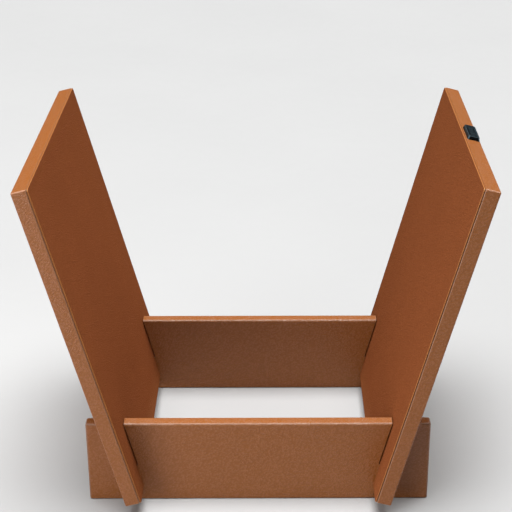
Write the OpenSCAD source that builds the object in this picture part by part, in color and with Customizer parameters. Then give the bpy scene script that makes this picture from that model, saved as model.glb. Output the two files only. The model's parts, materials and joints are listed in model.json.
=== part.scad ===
// Storage stand: two leaning side panels slot down over two cross rails.
// Every board is covered in grained leatherette. What is stored stands on the rails' top edges.
// The origin is on the floor, midway between the panels and midway between the rails.
// X runs across the stand, Y from its front to its rear, Z up.

/* [Side panels] */
// Length of a side panel, measured along its lean
panel_len = 350; // [300:1:400]
// Depth of a side panel, from its front edge to its rear edge
panel_depth = 300; // [270:1:340]
// Lean of each side panel from upright, in degrees
lean = 14.5; // [10:0.5:20]
// Distance between the panels' inner faces at their bottom ends
foot_gap = 234; // [200:1:280]
// Height of a panel's inner bottom edge over the floor
foot_height = 17; // [12:1:24]
// Thickness of the fibreboard inside a panel
panel_board_t = 13.5; // [10:0.5:18]
// Thickness of the card inside a panel's lining
lining_card_t = 0.5; // [0.5:0.1:2]
// Radius of the covering over a panel's outer edges
panel_edge_r = 1.2; // [1:0.1:2.4]
// Radius of a panel's corners, as seen on its faces
panel_corner_r = 1.4; // [1:0.1:6]

/* [Rails] */
// Height of a rail
rail_h = 90; // [75:1:110]
// Thickness of the fibreboard inside a rail
rail_board_t = 12; // [9:0.5:16]
// Length of rail past each panel, at the rail's top
rail_stub = 20; // [12:0.5:40]
// Distance from the panels' front and rear edges to the rails' outer faces
rail_setback = 32; // [20:1:50]
// Radius of the covering over a rail's edges
rail_edge_r = 1.8; // [1.2:0.1:2.4]
// Radius of a rail's corners, as seen on its faces
rail_corner_r = 2; // [1:0.1:6]
// Width of the strip under a rail, which closes the covering there
base_strip_w = 8; // [5:0.5:8.5]
// Distance from a rail's corners to the ends of the strip under it
base_strip_setback = 3; // [1:0.5:10]
// Height of the rest of a rail's covering over the floor
base_strip_proud = 0.2; // [0.1:0.1:0.5]

/* [Covering] */
// Thickness of the leatherette
cover_t = 0.6; // [0.4:0.1:0.8]
// Radius of the coverings' two folds that meet in the seam between a panel and its lining
seam_fold_r = 0.8; // [0.7:0.1:0.8]

/* [Slots] */
// Length of the slots in a panel's bottom end, along the panel
slot_len = 25; // [18:0.5:34]
// Gap between a rail and a panel's slot, on each side
rail_play = 0.4; // [0.3:0.1:0.8]
// Gap between a rail and a panel's inner face
inner_play = 1.2; // [0.4:0.1:2]
// Gap between a rail and a panel's outer face
outer_play = 0.4; // [0.3:0.1:1]

/* [Badge] */
// Length of the badge on the right panel's top edge
badge_len = 36; // [24:1:60]
// Width of the badge, across the panel's thickness
badge_w = 12.6; // [9:0.1:13]
// Height of the badge over its pad
badge_h = 3.4; // [2.4:0.1:5]
// How far each of the badge's sides slopes inwards on its way up
badge_slope = 0.9; // [0.3:0.1:1.2]
// Radius of the badge's corners
badge_corner_r = 2; // [1.2:0.1:3]
// Bevel round the badge's top
badge_bevel = 0.3; // [0.2:0.1:0.6]
// Width of the badge's raised rim
badge_rim = 1; // [0.6:0.1:1.4]
// Depth of the field inside the rim
badge_field_depth = 0.7; // [0.4:0.1:1.2]
// Radius of the field's corners
badge_field_r = 0.8; // [0.4:0.1:1.5]
// Length of one of the plain ribs across the field
badge_rib_len = 5; // [3:0.5:7]
// Width of a rib
badge_rib_w = 1.2; // [0.6:0.1:1.6]
// Distance from one rib to the next
badge_rib_pitch = 4; // [2.5:0.5:6]
// Height of a rib over the field
badge_rib_h = 0.4; // [0.2:0.1:0.6]
// Thickness of the adhesive pad under the badge
pad_t = 0.4; // [0.2:0.1:1]
// Distance from the badge's sides to the pad's
pad_inset = 1; // [0.5:0.1:1.1]

/* [Hidden] */
$fn = 48;

lining_t = lining_card_t + 2 * cover_t;
panel_t = lining_t + panel_board_t + 2 * cover_t;
rail_t = rail_board_t + 2 * cover_t;

// Middle of each rail's thickness, in front of the origin and behind it.
rail_mid_y = panel_depth / 2 - rail_setback - rail_t / 2;

// Half of a rail's length: out to the slot's outer side at the rail's top, and on by the stub.
slot_outer_x = foot_gap / 2 + (rail_h - foot_height) * tan(lean) + (panel_t + outer_play) / cos(lean);
rail_half = slot_outer_x + rail_stub;

// How far a cutting block runs past the face that it cuts through.
over = 1;

leatherette = [0.55, 0.33, 0.21];
smooth_leatherette = [0.50, 0.28, 0.16];
edge_leatherette = [0.42, 0.24, 0.15];
fibreboard = [0.72, 0.58, 0.42];
greyboard = [0.52, 0.50, 0.47];
black_plastic = [0.07, 0.08, 0.09];
adhesive_foam = [0.75, 0.75, 0.72];

// ---------- outlines and blocks ----------

// A rectangle centred on Y, from x = 0 to x = width, with its own corner radius at each end of X.
module two_radius_rect(width, length, r_low, r_high) {
    translate([r_low, -length / 2]) square([width - r_low - r_high, length]);
    translate([0, -length / 2 + r_low]) square([r_low, length - 2 * r_low]);
    translate([width - r_high, -length / 2 + r_high]) square([r_high, length - 2 * r_high]);
    for (side = [-1, 1]) {
        translate([r_low, side * (length / 2 - r_low)]) circle(r_low);
        translate([width - r_high, side * (length / 2 - r_high)]) circle(r_high);
    }
}

// A board from x = 0 to x = size.x, centred on Y, from z = 0 to z = size.z. Its edges have radius
// r_low at x = 0 and r_high at x = size.x, and its corners seen along X have radius r_corner.
// Each of the three outlines that shape it runs past the ends of the other two.
module soft_board(size, r_low, r_high, r_corner) {
    intersection() {
        translate([0, size.y / 2 + over, size.z / 2]) rotate([90, 0, 0])
            linear_extrude(size.y + 2 * over) two_radius_rect(size.x, size.z, r_low, r_high);
        translate([size.x + over, 0, 0]) rotate([0, -90, 0])
            linear_extrude(size.x + 2 * over) two_radius_rect(size.z, size.y, r_corner, r_corner);
        translate([0, 0, -over])
            linear_extrude(size.z + 2 * over) two_radius_rect(size.x, size.y, r_low, r_high);
    }
}

// ---------- side panels ----------
// A panel's own frame: x = 0 on its inner face, y = 0 midway, z = 0 on its bottom end.

module place_panel(side) {
    mirror([side < 0 ? 1 : 0, 0, 0])
        translate([foot_gap / 2, 0, foot_height]) rotate([0, lean, 0]) children();
}

// The two slots that the rails pass through, grown by a covering's thickness or by none.
module panel_slots(grow) {
    slot_w = rail_t + 2 * rail_play;
    for (y = [-rail_mid_y, rail_mid_y])
        translate([-over, y - slot_w / 2 - grow, -over])
            cube([panel_t + 2 * over, slot_w + 2 * grow, slot_len + grow + over]);
}

// The outside of the lining, or the same shape an even distance inside it.
module lining_shape(inset) {
    translate([inset, 0, inset])
        soft_board([lining_t - 2 * inset, panel_depth - 2 * inset, panel_len - 2 * inset],
                   seam_fold_r - inset, seam_fold_r - inset, panel_corner_r - inset);
}

// The outside of the thick board in its covering, behind the lining, or a shape inside it.
module carcass_shape(inset) {
    translate([lining_t + inset, 0, inset])
        soft_board([panel_t - lining_t - 2 * inset, panel_depth - 2 * inset, panel_len - 2 * inset],
                   seam_fold_r - inset, panel_edge_r - inset, panel_corner_r - inset);
}

module panel_core() {
    color(fibreboard) difference() {
        carcass_shape(cover_t);
        panel_slots(cover_t);
    }
}

module lining_card() {
    color(greyboard) difference() {
        lining_shape(cover_t);
        panel_slots(cover_t);
    }
}

// The strips inside the slots, over the cut edges of the board and of the card.
module panel_slot_liners() {
    color(edge_leatherette) intersection() {
        difference() {
            panel_slots(cover_t);
            panel_slots(0);
        }
        translate([cover_t, -panel_depth / 2, cover_t])
            cube([panel_t - 2 * cover_t, panel_depth, panel_len]);
    }
}

// One sheet all round the thick board. Its joint is behind the lining.
module panel_wrap() {
    color(leatherette) difference() {
        carcass_shape(0);
        carcass_shape(cover_t);
        panel_slots(0);
        panel_slot_liners();
    }
}

// One sheet all round the lining's card. The lining is glued to the covered board.
module lining_cover() {
    color(smooth_leatherette) difference() {
        lining_shape(0);
        lining_shape(cover_t);
        panel_slots(0);
        panel_slot_liners();
    }
}

// ---------- rails ----------
// A rail's own frame: x = 0 midway along it, y = 0 midway through its thickness, z = 0 on the floor.

module place_rail(side) {
    translate([0, side * rail_mid_y, 0]) children();
}

// The rail's outside, or the same shape an even distance inside it.
module rail_shape(inset) {
    half = rail_half - inset;
    width = rail_t - 2 * inset;
    height = rail_h - base_strip_proud - 2 * inset;
    edge = rail_edge_r - inset;
    corner = rail_corner_r - inset;
    translate([0, 0, base_strip_proud + inset]) intersection() {
        translate([-half - over, 0, 0]) rotate([90, 0, 90]) linear_extrude(2 * (half + over))
            translate([-width / 2, height / 2]) two_radius_rect(width, height, edge, edge);
        translate([0, rail_t / 2 + over, 0]) rotate([90, 0, 0]) linear_extrude(rail_t + 2 * over)
            translate([-half, height / 2]) two_radius_rect(2 * half, height, corner, corner);
        translate([-half, 0, -over]) linear_extrude(height + 2 * over)
            two_radius_rect(2 * half, width, edge, edge);
    }
}

// The two leaning slots that the panels sit in, grown by a covering's thickness or by none.
module rail_slots(grow) {
    for (side = [-1, 1]) place_panel(side)
        translate([-inner_play - grow, -rail_t / 2 - over, slot_len - grow])
            cube([panel_t + inner_play + outer_play + 2 * grow, rail_t + 2 * over, rail_h / cos(lean)]);
}

module rail_core() {
    color(fibreboard) difference() {
        rail_shape(cover_t);
        rail_slots(cover_t);
    }
}

// The strips inside the slots, over the core's cut edges.
module rail_slot_liners() {
    color(edge_leatherette) difference() {
        intersection() {
            rail_shape(cover_t);
            rail_slots(cover_t);
        }
        rail_slots(0);
    }
}

// A bar as long and wide as the strip under the rail, between two heights.
module base_strip_bar(z_low, z_high) {
    bar_half = rail_half - rail_corner_r - base_strip_setback;
    translate([-bar_half, -base_strip_w / 2, z_low]) cube([2 * bar_half, base_strip_w, z_high - z_low]);
}

// The strip under the rail, between the covering's two turned-in edges. The rail stands on it.
module rail_base_strip() {
    color(edge_leatherette) base_strip_bar(0, base_strip_proud + cover_t);
}

// Covers the front, top, back and ends in one piece, and turns in under the rail.
module rail_wrap() {
    color(leatherette) difference() {
        rail_shape(0);
        rail_shape(cover_t);
        rail_slots(0);
        base_strip_bar(-over, base_strip_proud + cover_t + over);
    }
}

// ---------- badge ----------
// Its own frame: x = 0 and y = 0 at its middle, z = 0 on the right panel's top edge.

// It sits midway across the covered board, beside the lining's edge.
module place_badge() {
    place_panel(1) translate([(lining_t + panel_t) / 2, 0, panel_len]) children();
}

// A flat block with round corners, centred on X and Y.
module badge_block(width, length, height, r) {
    translate([-width / 2, 0, 0]) linear_extrude(height) two_radius_rect(width, length, r, r);
}

module badge_pad() {
    color(adhesive_foam)
        badge_block(badge_w - 2 * pad_inset, badge_len - 2 * pad_inset, pad_t, badge_corner_r - pad_inset);
}

// The badge's section from side to side: its sides slope inwards and end in a bevel at the top.
module sloped_section(width) {
    half = width / 2;
    shoulder = half - badge_slope;
    polygon([
        [-half, 0],
        [half, 0],
        [shoulder, badge_h - badge_bevel],
        [shoulder - badge_bevel, badge_h],
        [badge_bevel - shoulder, badge_h],
        [-shoulder, badge_h - badge_bevel]
    ]);
}

module badge_solid() {
    intersection() {
        badge_block(badge_w, badge_len, badge_h, badge_corner_r);
        translate([0, badge_len / 2, 0]) rotate([90, 0, 0])
            linear_extrude(badge_len) sloped_section(badge_w);
        translate([-badge_w / 2, 0, 0]) rotate([90, 0, 90])
            linear_extrude(badge_w) sloped_section(badge_len);
    }
}

// Plain ribs across the sunk field, as many as fit it.
module badge() {
    edge_w = badge_slope + badge_bevel + badge_rim;
    field_w = badge_w - 2 * edge_w;
    field_len = badge_len - 2 * edge_w;
    field_z = badge_h - badge_field_depth;
    rib_steps = floor((field_len / 2 - badge_rib_w) / badge_rib_pitch);
    color(black_plastic) translate([0, 0, pad_t]) {
        difference() {
            badge_solid();
            translate([0, 0, field_z])
                badge_block(field_w, field_len, badge_field_depth + over, badge_field_r);
        }
        for (step = [-rib_steps : rib_steps])
            translate([-badge_rib_len / 2, step * badge_rib_pitch - badge_rib_w / 2, field_z - over])
                cube([badge_rib_len, badge_rib_w, badge_rib_h + over]);
    }
}

// ---------- nodes ----------

place_panel(-1) panel_core();  // left_panel_core
place_panel(-1) panel_wrap();  // left_panel_wrap
place_panel(-1) panel_slot_liners();  // left_slot_liners
place_panel(-1) lining_card();  // left_lining_card
place_panel(-1) lining_cover();  // left_lining_cover
place_panel(1) panel_core();  // right_panel_core
place_panel(1) panel_wrap();  // right_panel_wrap
place_panel(1) panel_slot_liners();  // right_slot_liners
place_panel(1) lining_card();  // right_lining_card
place_panel(1) lining_cover();  // right_lining_cover
place_badge() badge_pad();
place_badge() badge();
place_rail(-1) rail_core();  // front_rail_core
place_rail(-1) rail_wrap();  // front_rail_wrap
place_rail(-1) rail_slot_liners();  // front_rail_slot_liners
place_rail(-1) rail_base_strip();  // front_rail_base_strip
place_rail(1) rail_core();  // rear_rail_core
place_rail(1) rail_wrap();  // rear_rail_wrap
place_rail(1) rail_slot_liners();  // rear_rail_slot_liners
place_rail(1) rail_base_strip();  // rear_rail_base_strip
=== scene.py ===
import json
import math
from contextlib import contextmanager

import bmesh
import bpy
from mathutils import Matrix, Vector

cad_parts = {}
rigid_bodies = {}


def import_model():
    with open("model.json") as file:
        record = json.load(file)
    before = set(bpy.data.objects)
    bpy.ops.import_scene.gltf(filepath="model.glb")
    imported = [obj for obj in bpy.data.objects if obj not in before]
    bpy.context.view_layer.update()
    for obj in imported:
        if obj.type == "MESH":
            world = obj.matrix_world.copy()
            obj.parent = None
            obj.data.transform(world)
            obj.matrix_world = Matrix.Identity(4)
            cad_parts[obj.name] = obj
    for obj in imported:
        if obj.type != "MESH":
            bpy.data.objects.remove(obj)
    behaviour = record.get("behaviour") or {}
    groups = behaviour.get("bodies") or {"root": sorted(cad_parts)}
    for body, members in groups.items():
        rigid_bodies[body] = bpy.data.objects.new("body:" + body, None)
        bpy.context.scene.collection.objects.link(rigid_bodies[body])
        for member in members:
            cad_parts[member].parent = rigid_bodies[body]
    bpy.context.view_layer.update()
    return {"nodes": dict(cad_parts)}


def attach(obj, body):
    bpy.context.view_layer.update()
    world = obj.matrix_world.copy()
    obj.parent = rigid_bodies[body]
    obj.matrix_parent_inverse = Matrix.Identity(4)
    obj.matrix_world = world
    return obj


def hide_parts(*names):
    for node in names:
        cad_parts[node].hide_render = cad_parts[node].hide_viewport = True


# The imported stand: every piece below is placed around it, in metres, with the floor at z = 0, the
# front rail towards -y and the badge's panel towards +x.
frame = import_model()
MM = 0.001


# ------------------------------------------------------------------------------------------------
# The side panels' coverings: pebble-grained leatherette on fibreboard. One sheet to a panel is glued
# over the outer face, folded over the four edges and turned in behind the lining, with square
# openings where the two slots pass through it.

PANEL_LEN = 350 * MM
PANEL_DEPTH = 300 * MM
PANEL_T = 16.4 * MM
LINING_T = 1.7 * MM
LEAN = math.radians(14.5)
FOOT_GAP = 234 * MM
FOOT_HEIGHT = 17 * MM
COVER_T = 0.6 * MM
CORNER_R = 1.4 * MM
FOLD_R = 1.2 * MM
SEAM_FOLD_R = 1.1 * MM
TURN_IN = 12 * MM
CUT_EDGE_R = 0.25 * MM
FULL_FOLD = 0.2
# A fold on the outside or along the top takes this share of the painted fold highlight, as the light hardly
# catches it there.
DIM_FOLD_HIGHLIGHT = 0.25
RAIL_MID_Y = 111.4 * MM
PANEL_SLOT_W = 14 * MM
SLOT_LEN = 25 * MM


def board_block(name, low, high):
    """Adds a block from corner low to corner high, as the only thing selected."""
    bpy.ops.object.select_all(action="DESELECT")
    low, high = Vector(low), Vector(high)
    bpy.ops.mesh.primitive_cube_add(size=1, location=(low + high) / 2, scale=high - low)
    block = bpy.context.object
    block.name = block.data.name = name
    bpy.ops.object.transform_apply(location=True, rotation=True, scale=True)
    return block


def take_up(piece):
    """Makes a piece the one that the next operator works on."""
    bpy.ops.object.select_all(action="DESELECT")
    piece.select_set(True)
    bpy.context.view_layer.objects.active = piece


@contextmanager
def on_the_bench(piece):
    """Opens one piece in edit mode, and closes it again."""
    take_up(piece)
    bpy.ops.object.mode_set(mode="EDIT")
    yield
    bpy.ops.object.mode_set(mode="OBJECT")


def pick(piece, kind, wanted):
    """Selects the piece's edges or faces that pass the test, and nothing else."""
    bpy.ops.mesh.select_mode(type={"edges": "EDGE", "faces": "FACE"}[kind])
    bpy.ops.mesh.select_all(action="DESELECT")
    mesh = bmesh.from_edit_mesh(piece.data)
    for item in getattr(mesh, kind):
        if wanted(item):
            item.select_set(True)
    bmesh.update_edit_mesh(piece.data)


def score(piece, point, normal, wanted=lambda face: True):
    """Cuts new edges where a plane crosses the faces that pass the test."""
    pick(piece, "faces", wanted)
    bpy.ops.mesh.bisect(plane_co=point, plane_no=normal)


def cut_away(piece, wanted):
    pick(piece, "faces", wanted)
    bpy.ops.mesh.delete(type="FACE")


def round_edges(piece, wanted, radius, segments):
    pick(piece, "edges", wanted)
    bpy.ops.mesh.bevel(offset=radius, segments=segments, affect="EDGES")


def faces_way(face, axis, sign):
    return face.normal[axis] * sign > 0.999


def folds_at(edge):
    """True for an edge where the surface turns a corner, and false on a flat or at an opening."""
    return len(edge.link_faces) == 2 and edge.link_faces[0].normal.dot(edge.link_faces[1].normal) < 0.9


def touches(edge, axis, sign):
    return any(faces_way(face, axis, sign) for face in edge.link_faces)


def goes_across(edge):
    """True for a fold that runs from a board's one face to the other."""
    return folds_at(edge) and not touches(edge, 0, 1) and not touches(edge, 0, -1)


def apply_modifier(piece, kind, **settings):
    take_up(piece)
    modifier = piece.modifiers.new(kind.lower(), kind)
    for key, value in settings.items():
        setattr(modifier, key, value)
    bpy.ops.object.modifier_apply(modifier=modifier.name)


def give_thickness(piece):
    """Thickens an outer surface inwards to the covering's thickness, and softens its cut edges."""
    apply_modifier(piece, "SOLIDIFY", thickness=COVER_T, offset=-1, use_even_offset=True)
    apply_modifier(piece, "BEVEL", width=CUT_EDGE_R, segments=2, limit_method="ANGLE",
                   angle_limit=math.radians(60))


def mark_folds(piece, kind="fold", dim_share=1.0):
    """Stores how far the surface is turned round a fold at each point: 0 on a flat, 1 mid-fold, and
    less on the folds on the outside and along the top, which the light hardly catches. The leatherette
    paints its fold highlight and its rails' fold shade by this value."""
    fold = piece.data.attributes.new(kind, "FLOAT", "POINT")
    for vert in piece.data.vertices:
        squareness = max(abs(part) for part in vert.normal)
        outside = vert.normal.x > 0.1
        along_top = vert.normal.x < -0.1 and vert.normal.z > 0.3
        painted_share = dim_share if outside or along_top else 1.0
        fold.data[vert.index].value = painted_share * min(1.0, (1 - squareness) / FULL_FOLD)


def smooth_off(piece):
    take_up(piece)
    bpy.ops.object.shade_smooth_by_angle(angle=math.radians(50))
    apply_modifier(piece, "WEIGHTED_NORMAL", keep_sharp=True, weight=80)


def panel_place(side):
    """From a panel's own frame, x = 0 on its inner face and z = 0 on its bottom end, to the stand's."""
    place = Matrix.Translation((FOOT_GAP / 2, 0, FOOT_HEIGHT)) @ Matrix.Rotation(LEAN, 4, "Y")
    return place if side == "right" else Matrix.Scale(-1, 4, (1, 0, 0)) @ place


def settle(piece, place):
    """Puts the place into the mesh, and turns the faces outwards again where that mirrored them."""
    piece.data.transform(place)
    if place.determinant() < 0:
        piece.data.flip_normals()


def copy_of(piece, name):
    twin = piece.copy()
    twin.data = piece.data.copy()
    twin.name = twin.data.name = name
    bpy.context.collection.objects.link(twin)
    return twin


def slotted_block(name, x_low, x_high):
    """A block as long and deep as a panel, open where the two slots pass through it."""
    half = PANEL_DEPTH / 2
    block = board_block(name, (x_low, -half, 0), (x_high, half, PANEL_LEN))
    with on_the_bench(block):
        score(block, (0, 0, SLOT_LEN), (0, 0, 1))
        for rail in (-1, 1):
            for cheek in (-1, 1):
                score(block, (0, rail * RAIL_MID_Y + cheek * PANEL_SLOT_W / 2, 0), (0, 1, 0))
        cut_away(block, lambda face: face.calc_center_median().z < SLOT_LEN
                 and abs(abs(face.calc_center_median().y) - RAIL_MID_Y) < PANEL_SLOT_W / 2)
    return block


def turn_in(piece, axis, sign):
    """Leaves only a turned-in margin of the face that looks one way."""
    pick(piece, "faces", lambda face: faces_way(face, axis, sign))
    bpy.ops.mesh.inset(thickness=TURN_IN, use_boundary=False, use_even_offset=True)
    bpy.ops.mesh.delete(type="FACE")


panel_covering = slotted_block("right_panel_covering", LINING_T, PANEL_T)
with on_the_bench(panel_covering):
    round_edges(panel_covering, goes_across, CORNER_R, 6)
    round_edges(panel_covering, lambda edge: folds_at(edge) and touches(edge, 0, 1), FOLD_R, 6)
    round_edges(panel_covering, lambda edge: folds_at(edge) and touches(edge, 0, -1), SEAM_FOLD_R, 5)
    turn_in(panel_covering, 0, -1)
give_thickness(panel_covering)
# The folds are marked for a painted highlight, weaker on the outside and along the top.
mark_folds(panel_covering, dim_share=DIM_FOLD_HIGHLIGHT)


class Wire:
    """A socket of a material's node tree. Expressions on wires add the nodes that work them out."""

    def __init__(self, tree, socket=None):
        self.tree = tree
        self.socket = socket

    def node(self, kind, settings=(), inputs=(), out=0):
        """Adds any node: its settings are set first, then its sockets' values or links."""
        made = self.tree.nodes.new(kind)
        for name, value in dict(settings).items():
            setattr(made, name, value)
        for key, value in dict(inputs).items():
            if isinstance(value, Wire):
                self.tree.links.new(value.socket, made.inputs[key])
            else:
                made.inputs[key].default_value = value
        return Wire(self.tree, made.outputs[out])

    def maths(self, operation, *values):
        return self.node("ShaderNodeMath", {"operation": operation}, dict(enumerate(values)))

    def __add__(self, other):
        return self.maths("ADD", self, other)

    def __radd__(self, other):
        return self.maths("ADD", other, self)

    def __sub__(self, other):
        return self.maths("SUBTRACT", self, other)

    def __rsub__(self, other):
        return self.maths("SUBTRACT", other, self)

    def __mul__(self, other):
        return self.maths("MULTIPLY", self, other)

    def __rmul__(self, other):
        return self.maths("MULTIPLY", other, self)

    def ease(self, low, high):
        """0 below low and 1 above high, with a soft rise between."""
        return self.node("ShaderNodeMapRange", {"interpolation_type": "SMOOTHSTEP"},
                         {0: self, 1: low, 2: high})

    def blend(self, first, second):
        """The colour this far from the first to the second."""
        return self.node("ShaderNodeMix", {"data_type": "RGBA"}, {0: self, 6: first, 7: second}, out=2)

    def moved(self, by, amount):
        """A place that another vector moves by an amount."""
        return self.node("ShaderNodeVectorMath", {"operation": "MULTIPLY_ADD"},
                         {0: by, 1: (amount, amount, amount), 2: self})

    def noise(self, scale, detail=2.0, out="Fac"):
        return self.node("ShaderNodeTexNoise", {}, {"Vector": self, "Scale": scale, "Detail": detail}, out)

    def feed(self, node, socket):
        self.tree.links.new(self.socket, node.inputs[socket])


def new_finish(name, **constants):
    """A material with its shader and its first wire, the surface's own place."""
    finish = bpy.data.materials.new(name)
    finish.use_nodes = True
    shader = finish.node_tree.nodes["Principled BSDF"]
    for key, value in constants.items():
        shader.inputs[key.replace("_", " ")].default_value = value
    place = Wire(finish.node_tree).node("ShaderNodeTexCoord", out="Object")
    return finish, shader, place


GRAIN_SLANT = math.radians(56)
GRAIN_STRETCH = 2.1
SWELL_DEPTH = 0.6 * MM


def leatherette(name, tan, crease_tan, fold_highlight_tan, grain_size, grain_depth, tone=0.1, roughness=0.5,
                gloss=0.5):
    """Coated fabric with an embossed pebble grain, its pebbles drawn out along one diagonal. It is tan on
    the pebbles and crease_tan between them, partly the grain's own tone and partly painted sheen on the
    crests; its third colour is a painted highlight along a fold, and half of it is painted shade on a rail's
    fold."""
    finish, shader, place = new_finish(name, Specular_IOR_Level=gloss, Coat_Roughness=0.45)
    wandering = place.moved(place.noise(0.35 / grain_size, out="Color"), grain_size * 0.6)
    drawn = wandering.node("ShaderNodeMapping", {"vector_type": "TEXTURE"},
                           {"Vector": wandering, "Rotation": (0, GRAIN_SLANT, 0),
                            "Scale": (1, 1, GRAIN_STRETCH)})
    pebble = drawn.node("ShaderNodeTexVoronoi", {"feature": "SMOOTH_F1"},
                        {"Vector": drawn, "Scale": 1 / grain_size, "Smoothness": 0.5}, "Distance")
    crease = drawn.node("ShaderNodeTexVoronoi", {"feature": "DISTANCE_TO_EDGE"},
                        {"Vector": drawn, "Scale": 1 / grain_size}, "Distance").ease(0.0, 0.3)
    pores = place.noise(4.0 / grain_size, 3.0)
    fold = place.node("ShaderNodeAttribute", {"attribute_name": "fold"}, out="Fac")
    rail_fold_shade = place.node("ShaderNodeAttribute", {"attribute_name": "shaded_rail_fold"}, out="Fac")
    height = ((1 - pebble) * 0.75 + crease * 0.25) * (1 - fold * 0.2) + pores * 0.05
    swell = place.noise(38.0, 1.0)
    patches = place.noise(17.0, 3.0).ease(0.3, 0.7)

    light = tuple(part * (1 + tone) for part in tan) + (1,)
    dark = tuple(part * (1 - tone) for part in tan) + (1,)
    broad = (patches * 0.45 + place.noise(140.0, 2.0) * 0.55).blend(dark, light)
    # Lighter and greyer on the pebbles' crests than in the creases: partly the grain's own tone, partly
    # painted sheen.
    crest = (1 - pebble).ease(0.35, 0.85)
    grain_tone_and_sheen = (crest * 0.85 + pores * 0.15).blend(crease_tan + (1,), broad)
    # Painted shade on the rails' folds, in half the fold colour.
    shaded_fold_tan = tuple(part * 0.5 for part in fold_highlight_tan) + (1,)
    edged = (rail_fold_shade * 0.75).blend(grain_tone_and_sheen, shaded_fold_tan)
    # Painted highlight along the marked folds.
    (fold * 0.7).blend(edged, fold_highlight_tan + (1,)).feed(shader, "Base Color")
    (fold * 0.35).feed(shader, "Coat Weight")
    (roughness - 0.06 - fold * 0.05 + pores * 0.1 + (1 - crease) * 0.08).feed(shader, "Roughness")
    soft = height.node("ShaderNodeBump", {}, {"Height": swell, "Distance": SWELL_DEPTH, "Strength": 0.5})
    height.node("ShaderNodeBump", {}, {"Height": height, "Distance": grain_depth, "Strength": 1.0,
                                       "Normal": soft}, "Normal").feed(shader, "Normal")
    return finish


# Its third colour is the painted fold highlight, and at half strength the painted shade on the rails' folds.
grained_tan = leatherette("grained_leatherette", (0.254, 0.087, 0.026), (0.208, 0.061, 0.005),
                          (0.335, 0.180, 0.115), 1.35 * MM, 0.42 * MM, tone=0.035, roughness=0.34,
                          gloss=0.42)
panel_coverings = {"right": panel_covering, "left": copy_of(panel_covering, "left_panel_covering")}
for side, covering in panel_coverings.items():
    settle(covering, panel_place(side))
    smooth_off(covering)
    covering.data.materials.append(grained_tan)
    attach(covering, side + "_panel")
    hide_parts(side + "_panel_wrap")


# ------------------------------------------------------------------------------------------------
# The linings: a thin card to each panel's inner face, wrapped in a smoother leatherette and glued
# on. Its rolled edge shows as a narrow lip, and meets the covering's fold in an open seam.

SEAM_GAP = 0.4 * MM
LINING_CORNER_R = 2.8 * MM
LIP_R = 0.75 * MM
LINING_BACK_R = 0.5 * MM

lining = slotted_block("right_lining", 0, LINING_T - SEAM_GAP)
with on_the_bench(lining):
    round_edges(lining, goes_across, LINING_CORNER_R, 6)
    round_edges(lining, lambda edge: folds_at(edge) and touches(edge, 0, -1), LIP_R, 5)
    round_edges(lining, lambda edge: folds_at(edge) and touches(edge, 0, 1), LINING_BACK_R, 4)
    turn_in(lining, 0, 1)
give_thickness(lining)
# The lining's folds, its lip among them, are marked for a painted highlight.
mark_folds(lining)

# Its third colour, a lighter orange, is the painted highlight on the lining's lip and other folds.
smooth_tan = leatherette("smooth_leatherette", (0.231, 0.0708, 0.0255), (0.175, 0.0510, 0.0172),
                         (0.42, 0.185, 0.055), 1.3 * MM, 0.60 * MM, tone=0.09, roughness=0.6, gloss=0.0)
for side, piece in {"right": lining, "left": copy_of(lining, "left_lining")}.items():
    settle(piece, panel_place(side))
    smooth_off(piece)
    piece.data.materials.append(smooth_tan)
    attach(piece, side + "_panel")
    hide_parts(side + "_lining_cover")


# ------------------------------------------------------------------------------------------------
# The rails' coverings: the same grained sheet, folded over each rail's long edges and ends, open at
# the two leaning slots, and turned in underneath as far as the strip that the stand rests on.

RAIL_HALF = 173.2 * MM
RAIL_T = 13.2 * MM
RAIL_H = 90 * MM
BASE_STRIP_PROUD = 0.2 * MM
BASE_STRIP_W = 8 * MM
BASE_STRIP_HALF = 168.2 * MM
RAIL_FOLD_R = 2.4 * MM
RAIL_BASE_FOLD_R = 1.3 * MM
INNER_PLAY = 1.2 * MM
OUTER_PLAY = 0.4 * MM


def in_rail_slot(point):
    """True between the two leaning walls of a slot, and over its bottom."""
    local = panel_place("right").inverted() @ Vector((abs(point.x), 0, point.z))
    return -INNER_PLAY < local.x < PANEL_T + OUTER_PLAY and local.z > SLOT_LEN


def underneath(face):
    return faces_way(face, 2, -1)


rail_covering = board_block("front_rail_covering", (-RAIL_HALF, -RAIL_T / 2, BASE_STRIP_PROUD),
                            (RAIL_HALF, RAIL_T / 2, RAIL_H))
with on_the_bench(rail_covering):
    for side in ("left", "right"):
        place = panel_place(side)
        across, along = place.to_3x3() @ Vector((1, 0, 0)), place.to_3x3() @ Vector((0, 0, 1))
        score(rail_covering, place @ Vector((-INNER_PLAY, 0, 0)), across)
        score(rail_covering, place @ Vector((PANEL_T + OUTER_PLAY, 0, 0)), across)
        score(rail_covering, place @ Vector((0, 0, SLOT_LEN)), along)
    cut_away(rail_covering, lambda face: in_rail_slot(face.calc_center_median()))
    round_edges(rail_covering, lambda edge: folds_at(edge) and not touches(edge, 2, -1), RAIL_FOLD_R, 6)
    round_edges(rail_covering, folds_at, RAIL_BASE_FOLD_R, 5)
    for way in (-1, 1):
        score(rail_covering, (0, way * BASE_STRIP_W / 2, 0), (0, 1, 0), underneath)
        score(rail_covering, (way * BASE_STRIP_HALF, 0, 0), (1, 0, 0), underneath)
    cut_away(rail_covering, lambda face: underneath(face)
             and abs(face.calc_center_median().y) < BASE_STRIP_W / 2
             and abs(face.calc_center_median().x) < BASE_STRIP_HALF)
give_thickness(rail_covering)
# The rails' folds are marked apart, for painted shade rather than the panels' painted highlight.
mark_folds(rail_covering, "shaded_rail_fold")

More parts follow.
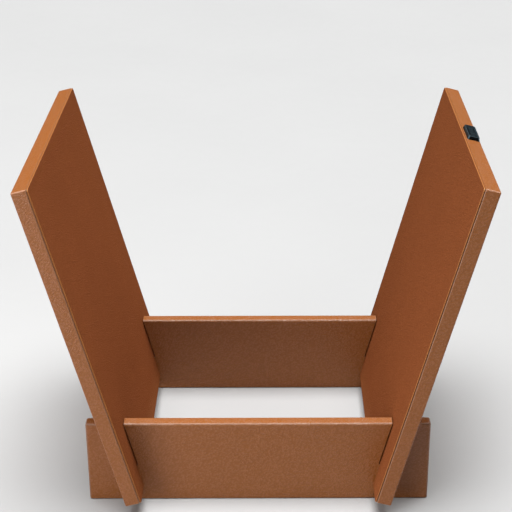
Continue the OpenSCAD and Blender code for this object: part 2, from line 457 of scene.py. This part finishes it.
for end, piece in {"front": rail_covering, "rear": copy_of(rail_covering, "rear_rail_covering")}.items():
    settle(piece, Matrix.Translation((0, RAIL_MID_Y if end == "rear" else -RAIL_MID_Y, 0)))
    smooth_off(piece)
    piece.data.materials.append(grained_tan)
    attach(piece, "rails")
    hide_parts(end + "_rail_wrap")


# ------------------------------------------------------------------------------------------------
# Inside the coverings, kept as the source makes them: the panels' and rails' fibreboard, the linings'
# card, and the strips of pressed leatherette that line the slots and close the rails underneath.


def finish_nodes(names, finish):
    """Gives solids of the source a finish of their own."""
    for name in names:
        for slot in frame["nodes"][name].material_slots:
            slot.material = finish


pressed_tan = leatherette("edge_leatherette", (0.21, 0.072, 0.026), (0.17, 0.055, 0.019),
                          (0.25, 0.09, 0.035), 1.5 * MM, 0.04 * MM, tone=0.08, roughness=0.55)

fibreboard, shader, place = new_finish("fibreboard")
fibres = place.node("ShaderNodeMapping", {}, {"Vector": place, "Scale": (1, 1, 0.2)}).noise(900.0, 4.0)
chips = place.node("ShaderNodeTexVoronoi", {}, {"Vector": place, "Scale": 700.0}, "Distance").ease(0.1, 0.5)
(fibres * 0.7 + chips * 0.3).blend((0.30, 0.185, 0.095, 1), (0.47, 0.33, 0.19, 1)).feed(shader, "Base Color")
(0.75 + fibres * 0.15).feed(shader, "Roughness")
fibres.node("ShaderNodeBump", {}, {"Height": fibres, "Distance": 0.05 * MM}, "Normal").feed(shader, "Normal")

card, shader, place = new_finish("greyboard")
pulp = place.noise(1500.0, 4.0)
flecks = place.noise(260.0, 2.0).ease(0.55, 0.75)
(pulp * 0.8 + flecks * 0.2).blend((0.20, 0.185, 0.16, 1), (0.34, 0.32, 0.28, 1)).feed(shader, "Base Color")
(0.8 + pulp * 0.12).feed(shader, "Roughness")
pulp.node("ShaderNodeBump", {}, {"Height": pulp, "Distance": 0.03 * MM}, "Normal").feed(shader, "Normal")

SIDES, ENDS = ("left", "right"), ("front", "rear")
finish_nodes([side + "_panel_core" for side in SIDES] + [end + "_rail_core" for end in ENDS], fibreboard)
finish_nodes([side + "_lining_card" for side in SIDES], card)
finish_nodes([side + "_slot_liners" for side in SIDES] + [end + "_rail_slot_liners" for end in ENDS]
             + [end + "_rail_base_strip" for end in ENDS], pressed_tan)


# ------------------------------------------------------------------------------------------------
# The badge: a small black plastic moulding on the right panel's top edge, with a bevelled rim round
# a sunk field that holds plain ribs. A foam pad sticks it to the covering.

BADGE_LEN = 36 * MM
BADGE_W = 12.6 * MM
BADGE_H = 3.4 * MM
BADGE_CORNER_R = 1.6 * MM
BADGE_SLOPE = 0.9 * MM
BADGE_BEVEL = 0.3 * MM
BADGE_FIELD_BEVEL = 0.15 * MM
BADGE_RIM = 1.0 * MM
BADGE_FIELD_DEPTH = 0.7 * MM
RIB_LEN = 5 * MM
RIB_W = 1.2 * MM
RIB_PITCH = 4 * MM
RIB_H = 0.4 * MM
RIBS_EACH_WAY = 3
PAD_T = 0.4 * MM


def top_edge(edge):
    return folds_at(edge) and touches(edge, 2, 1)


badge = board_block("badge_moulding", (-BADGE_W / 2, -BADGE_LEN / 2, 0),
                    (BADGE_W / 2, BADGE_LEN / 2, BADGE_H))
with on_the_bench(badge):
    pick(badge, "faces", lambda face: faces_way(face, 2, 1))
    bpy.ops.transform.resize(value=(1 - 2 * BADGE_SLOPE / BADGE_W, 1 - 2 * BADGE_SLOPE / BADGE_LEN, 1))
    round_edges(badge, lambda edge: all(abs(face.normal.z) < 0.5 for face in edge.link_faces),
                BADGE_CORNER_R, 6)
    round_edges(badge, top_edge, BADGE_BEVEL, 3)
    pick(badge, "faces", lambda face: faces_way(face, 2, 1))
    bpy.ops.mesh.inset(thickness=BADGE_RIM, use_even_offset=True)
    bpy.ops.mesh.extrude_region_move(TRANSFORM_OT_translate={"value": (0, 0, -BADGE_FIELD_DEPTH)})
    round_edges(badge, top_edge, BADGE_FIELD_BEVEL, 2)

rib_low = BADGE_H - BADGE_FIELD_DEPTH - RIB_H
rib = board_block("badge_rib", (-RIB_LEN / 2, -RIB_W / 2, rib_low),
                  (RIB_LEN / 2, RIB_W / 2, rib_low + 2 * RIB_H))
with on_the_bench(rib):
    round_edges(rib, lambda edge: folds_at(edge) and not touches(edge, 2, -1), RIB_H / 2, 2)
for step in range(-RIBS_EACH_WAY, RIBS_EACH_WAY + 1):
    if step:
        settle(copy_of(rib, "badge_rib_copy"), Matrix.Translation((0, step * RIB_PITCH, 0)))
take_up(badge)
for piece in bpy.context.collection.objects:
    if piece.name.startswith("badge_rib"):
        piece.select_set(True)
bpy.ops.object.join()

# The bevels, the only faces that look up askew, carry a painted highlight.
rim_highlight = badge.data.attributes.new("rim_highlight", "FLOAT", "CORNER")
for face in badge.data.polygons:
    for corner in face.loop_indices:
        rim_highlight.data[corner].value = 1.0 if 0.3 < face.normal.z < 0.97 else 0.0
settle(badge, panel_place("right") @ Matrix.Translation(((LINING_T + PANEL_T) / 2, 0, PANEL_LEN + PAD_T)))
smooth_off(badge)

black, shader, place = new_finish("black_plastic", Specular_IOR_Level=0.15)
mould = place.noise(2600.0, 3.0)
rubbed = place.noise(190.0, 3.0).ease(0.35, 0.75)
moulded = (rubbed * 0.6 + mould * 0.4).blend((0.0015, 0.0020, 0.0022, 1), (0.004, 0.005, 0.006, 1))
edge = place.node("ShaderNodeAttribute", {"attribute_name": "rim_highlight"}, out="Fac")
# Painted blue-grey highlight on the bevels.
(edge * 0.8).blend(moulded, (0.050, 0.085, 0.105, 1)).feed(shader, "Base Color")
(0.30 + mould * 0.12 + rubbed * 0.08).feed(shader, "Roughness")
mould.node("ShaderNodeBump", {}, {"Height": mould, "Distance": 0.03 * MM}, "Normal").feed(shader, "Normal")
badge.data.materials.clear()
badge.data.materials.append(black)
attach(badge, "right_panel")
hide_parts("badge")

foam, shader, place = new_finish("adhesive_foam")
cells = place.node("ShaderNodeTexVoronoi", {}, {"Vector": place, "Scale": 4200.0}, "Distance").ease(0.1, 0.6)
cells.blend((0.30, 0.29, 0.27, 1), (0.55, 0.54, 0.51, 1)).feed(shader, "Base Color")
(0.8 + cells * 0.1).feed(shader, "Roughness")
cells.node("ShaderNodeBump", {}, {"Height": cells, "Distance": 0.08 * MM}, "Normal").feed(shader, "Normal")
finish_nodes(["badge_pad"], foam)


# ------------------------------------------------------------------------------------------------
# The view from in front and above, and the studio: a pale floor, a wide soft light overhead, a weak one
# from the right rear, two soft boxes at the left front, and pale surroundings that give hardly any light.

VIEW_PLACE = (14.15 * MM, -1249.3 * MM, 799.4 * MM)
VIEW_YAW = math.radians(0.177)
VIEW_PITCH = math.radians(24.477)
VIEW_ROLL = math.radians(-0.05)
PHOTO_W = 512
FOCAL_PX = 1323.46
AXIS_PX = (275.58, 246.88)
SENSOR_W = 36

bpy.ops.object.camera_add()
camera = bpy.context.object
ahead = Vector((math.sin(VIEW_YAW) * math.cos(VIEW_PITCH), math.cos(VIEW_YAW) * math.cos(VIEW_PITCH),
                -math.sin(VIEW_PITCH)))
level = Vector((math.cos(VIEW_YAW), -math.sin(VIEW_YAW), 0))
upward = level.cross(ahead)
rightward = level * math.cos(VIEW_ROLL) + upward * math.sin(VIEW_ROLL)
upward = upward * math.cos(VIEW_ROLL) - level * math.sin(VIEW_ROLL)
turn = Matrix((rightward, upward, -ahead)).transposed().to_4x4()
camera.matrix_world = Matrix.Translation(VIEW_PLACE) @ turn
camera.data.sensor_width = SENSOR_W
camera.data.lens = SENSOR_W * FOCAL_PX / PHOTO_W
camera.data.shift_x = (PHOTO_W / 2 - AXIS_PX[0]) / PHOTO_W
camera.data.shift_y = (AXIS_PX[1] - PHOTO_W / 2) / PHOTO_W
bpy.context.scene.camera = camera
bpy.context.scene.view_settings.view_transform = "Standard"


LIGHTS_AIM_AT = Vector((0, 0, 170 * MM))
FLOOR_HALF = 40
FLOOR_T = 20 * MM
FLOOR_EDGE_R = 5 * MM
SURROUNDINGS_LIGHT = 0.03
SURROUNDINGS_SEEN = 0.78


def soft_sun(comes_from, spread, strength):
    """Even light from one side, as soft as its spread in degrees is wide."""
    bpy.ops.object.light_add(type="SUN")
    light = bpy.context.object
    light.rotation_euler = Vector(comes_from).to_track_quat("Z", "Y").to_euler()
    light.data.angle = math.radians(spread)
    light.data.energy = strength


def softbox(place, size, power):
    """A square soft light, near the object and turned to its middle, out of the camera's sight."""
    bpy.ops.object.light_add(type="AREA", location=place)
    light = bpy.context.object
    light.rotation_euler = (Vector(place) - LIGHTS_AIM_AT).to_track_quat("Z", "Y").to_euler()
    light.data.size = size
    light.data.energy = power
    light.visible_camera = False


soft_sun((0, 0, 1), 40, 6.8)
soft_sun((0.8, 0.3, 0.6), 50, 1.0)
softbox((-0.95, -0.82, 1.05), 1.4, 10.8)
softbox((-0.92, -0.92, 0.34), 0.6, 6.7)

floor = board_block("floor", (-FLOOR_HALF, -FLOOR_HALF, -FLOOR_T), (FLOOR_HALF, FLOOR_HALF, 0))
with on_the_bench(floor):
    round_edges(floor, lambda edge: True, FLOOR_EDGE_R, 2)
pale, shader, place = new_finish("pale_floor")
place.noise(3.0, 2.0).blend((0.315, 0.315, 0.315, 1), (0.335, 0.335, 0.335, 1)).feed(shader, "Base Color")
(0.7 + place.noise(40.0, 2.0) * 0.1).feed(shader, "Roughness")
floor.data.materials.append(pale)

studio = bpy.data.worlds.new("studio")
studio.use_nodes = True
surroundings = studio.node_tree.nodes["Background"]
surroundings.inputs["Color"].default_value = (1, 1, 1, 1)
in_sight = Wire(studio.node_tree).node("ShaderNodeLightPath", out="Is Camera Ray")
(SURROUNDINGS_LIGHT + in_sight * (SURROUNDINGS_SEEN - SURROUNDINGS_LIGHT)).feed(surroundings, "Strength")
bpy.context.scene.world = studio
